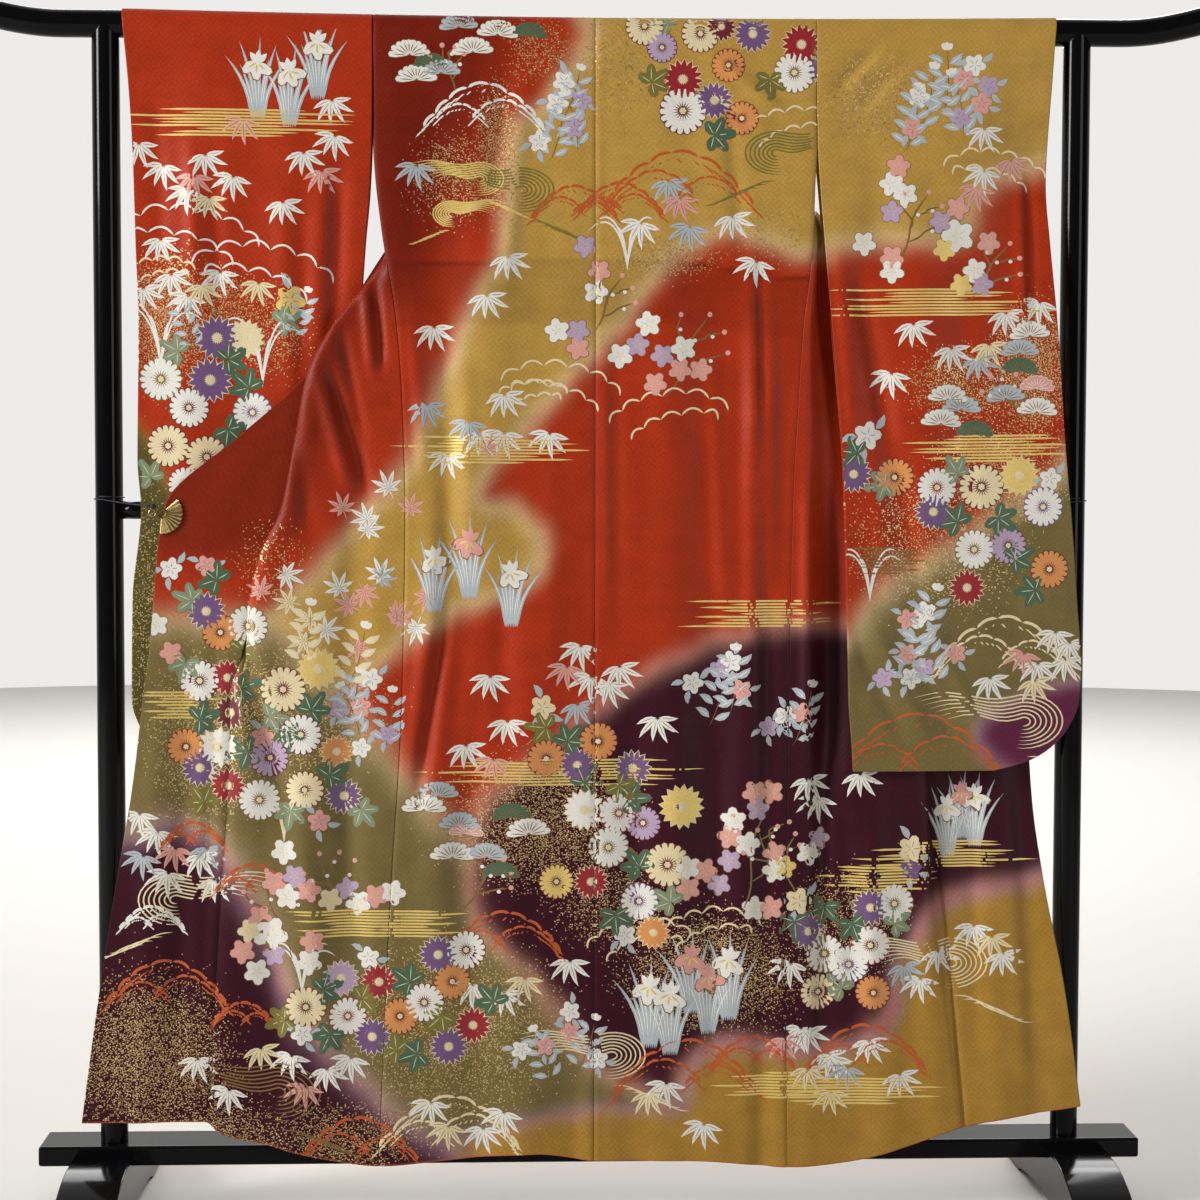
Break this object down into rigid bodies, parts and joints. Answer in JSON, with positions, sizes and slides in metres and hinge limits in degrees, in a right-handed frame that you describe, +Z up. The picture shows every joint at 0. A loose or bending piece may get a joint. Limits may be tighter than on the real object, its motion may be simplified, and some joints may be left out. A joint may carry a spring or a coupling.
{
  "type": "furisode kimono on a kimono stand",
  "caption": "Long-sleeved silk kimono hung open over the top bar of a black lacquered stand, its back in front and its fronts drawn out to both sides.",
  "frame": {"origin": "on the floor under the middle of the stand", "axes": "+X along the top bar to the right of the garment's back view, +Y away from the viewer of that view, +Z up"},
  "size_m": [1.9116, 0.4982, 1.7756],
  "materials": {
    "silk": "patterned silk with a woven ground and a satin sheen",
    "lacquer": "polished black lacquer",
    "brass": "aged brass",
    "cord": "black silk cord"
  },
  "bodies": {
    "root": {"back_left": "silk", "back_right": "silk", "front_left": "silk", "front_right": "silk", "okumi_left": "silk", "okumi_right": "silk", "sleeve_left_near": "silk", "sleeve_left_far": "silk", "sleeve_right_near": "silk", "sleeve_right_far": "silk", "collar": "silk", "top_bar": "lacquer", "post_left": "lacquer", "post_right": "lacquer", "middle_rail": "lacquer", "lower_beam": "lacquer", "foot_left": "lacquer", "foot_right": "lacquer", "clip_left_fan": "brass", "clip_left_hub": "brass", "clip_left_ring": "brass", "clip_right": "brass", "knot_left": "cord", "knot_right": "cord", "cord_left": "cord", "cord_right": "cord"}
  },
  "joints": []
}
